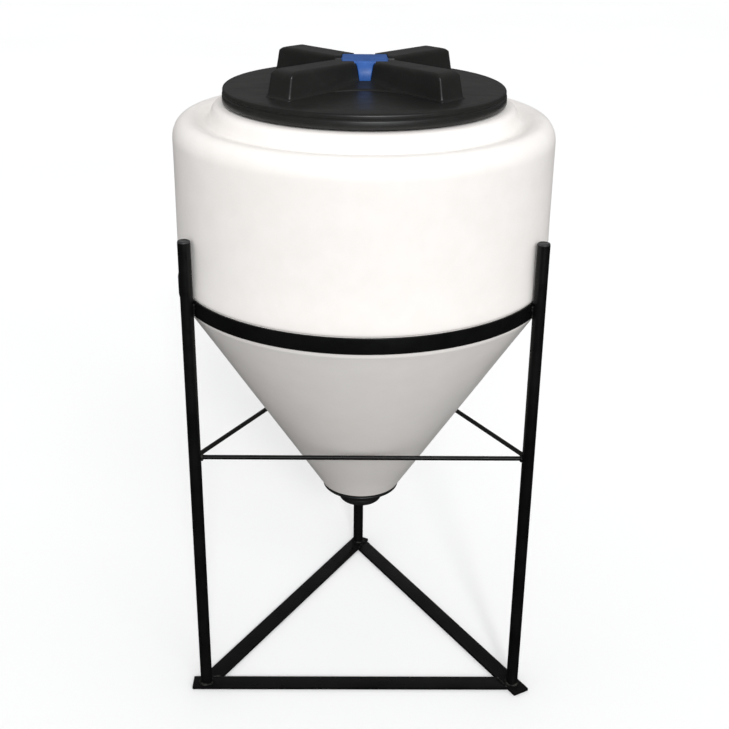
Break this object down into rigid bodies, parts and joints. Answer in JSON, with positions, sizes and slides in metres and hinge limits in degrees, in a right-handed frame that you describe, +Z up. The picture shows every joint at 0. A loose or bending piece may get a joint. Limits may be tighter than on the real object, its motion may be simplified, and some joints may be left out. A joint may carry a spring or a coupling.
{
  "type": "conical fermenter",
  "caption": "Conical-bottom moulded plastic fermenting tank with a screw lid and a bottom drain, held in a hoop on a welded steel tripod stand.",
  "frame": {"origin": "on the floor, at the middle of the whole object's footprint; the tank's vertical axis is at x = 0, y = -0.0208 m", "axes": "+Z up along the tank's axis; +Y towards the single rear leg, so -Y is the front with the straight base bar; +X to the right seen from the front"},
  "size_m": [0.768, 0.8096, 1.356],
  "materials": {
    "tank": "natural translucent white polyethylene, satin",
    "stand": "gloss black enamel, slightly worn",
    "lid": "satin black moulded plastic",
    "leg_cap": "dark grey moulded plug",
    "vent": "blue moulded plastic",
    "fitting": "black moulded plastic",
    "seal": "black seal rubber",
    "steel": "plain stainless"
  },
  "bodies": {
    "stand": {"support_ring": "stand", "leg_left": "stand", "leg_right": "stand", "leg_rear": "stand", "leg_cap_left": "leg_cap", "leg_cap_right": "leg_cap", "leg_cap_rear": "leg_cap", "brace_front": "stand", "brace_left": "stand", "brace_right": "stand", "base_bar_front": "stand", "base_bar_left": "stand", "base_bar_right": "stand"},
    "tank": {"tank_shell": "tank", "drain_gasket": "seal", "drain_fitting": "fitting", "drain_nut": "fitting"},
    "lid_gasket_body": {"lid_gasket": "seal"},
    "lid_body": {"lid": "lid", "vent_spring": "steel"},
    "vent": {"vent_cap": "vent", "vent_stem": "steel", "vent_seal": "seal", "vent_clip": "steel"},
    "plug_seal_body": {"plug_seal": "seal"},
    "plug": {"drain_plug": "fitting"}
  },
  "joints": [
    {"name": "tank_lift", "type": "slide", "parent": "stand", "child": "tank", "axis": [0, 0, 1], "range_m": [0, 0.45]},
    {"name": "lid_rise", "type": "slide", "parent": "tank", "child": "lid_gasket_body", "axis": [0, 0, 1], "range_m": [0, 0.024]},
    {"name": "lid_turn", "type": "hinge", "parent": "lid_gasket_body", "child": "lid_body", "pos_m": [0, -0.02079, 1.27], "axis": [0, 0, 1], "range_deg": [0, 720]},
    {"name": "vent_lift", "type": "slide", "parent": "lid_body", "child": "vent", "axis": [0, 0, 1], "range_m": [0, 0.006], "stiffness_N_per_m": 400, "springref_m": -0.004, "deforming": ["vent_spring"]},
    {"name": "plug_drop", "type": "slide", "parent": "tank", "child": "plug_seal_body", "axis": [0, 0, -1], "range_m": [0, 0.0125]},
    {"name": "plug_turn", "type": "hinge", "parent": "plug_seal_body", "child": "plug", "pos_m": [0, -0.02079, 0.38], "axis": [0, 0, -1], "range_deg": [0, 900]}
  ],
  "couplings": [
    {"joint": "lid_rise", "follows": "lid_turn", "m_per_rad": 0.0019098},
    {"joint": "plug_drop", "follows": "plug_turn", "m_per_rad": 0.0007957}
  ]
}
